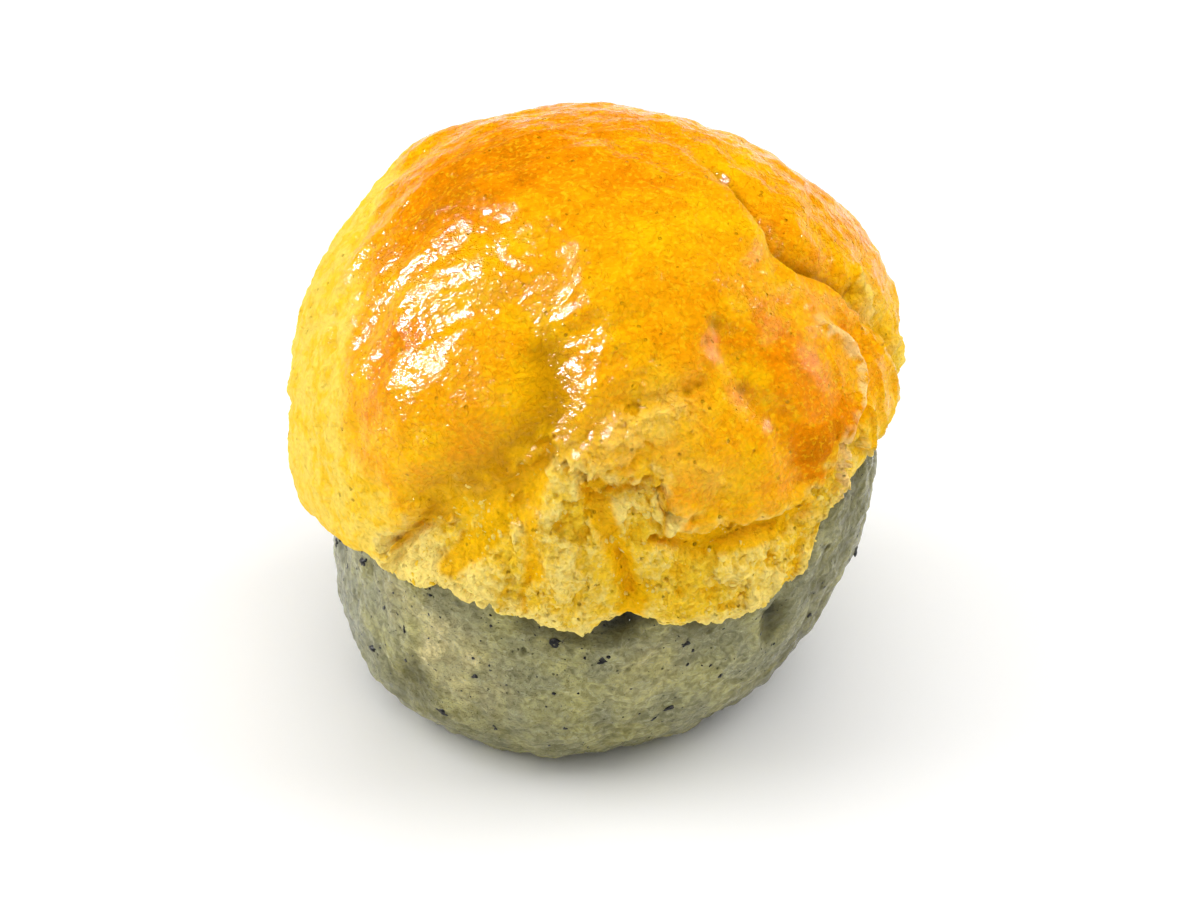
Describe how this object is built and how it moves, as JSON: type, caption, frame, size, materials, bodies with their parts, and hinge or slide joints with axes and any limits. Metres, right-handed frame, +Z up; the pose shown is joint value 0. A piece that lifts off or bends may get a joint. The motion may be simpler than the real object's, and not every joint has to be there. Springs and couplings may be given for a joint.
{
  "type": "pineapple puff",
  "caption": "Round pastry puff: a speckled grey-green dough bun under a glazed golden biscuit crust with a ragged crumb rim.",
  "frame": {"origin": "middle of the puff's box, at the height of its flat foot", "axes": "+Z up, the pictured front towards -Y, +X to the right seen from the front"},
  "size_m": [0.0698, 0.0704, 0.0684],
  "materials": {
    "biscuit_crust": "egg-glazed biscuit crust, glossy golden skin with bare crumb at the rim",
    "speckled_dough": "moist grey-green dough with fine dark flecks"
  },
  "bodies": {
    "root": {"crust": "biscuit_crust", "dough": "speckled_dough"}
  },
  "joints": []
}
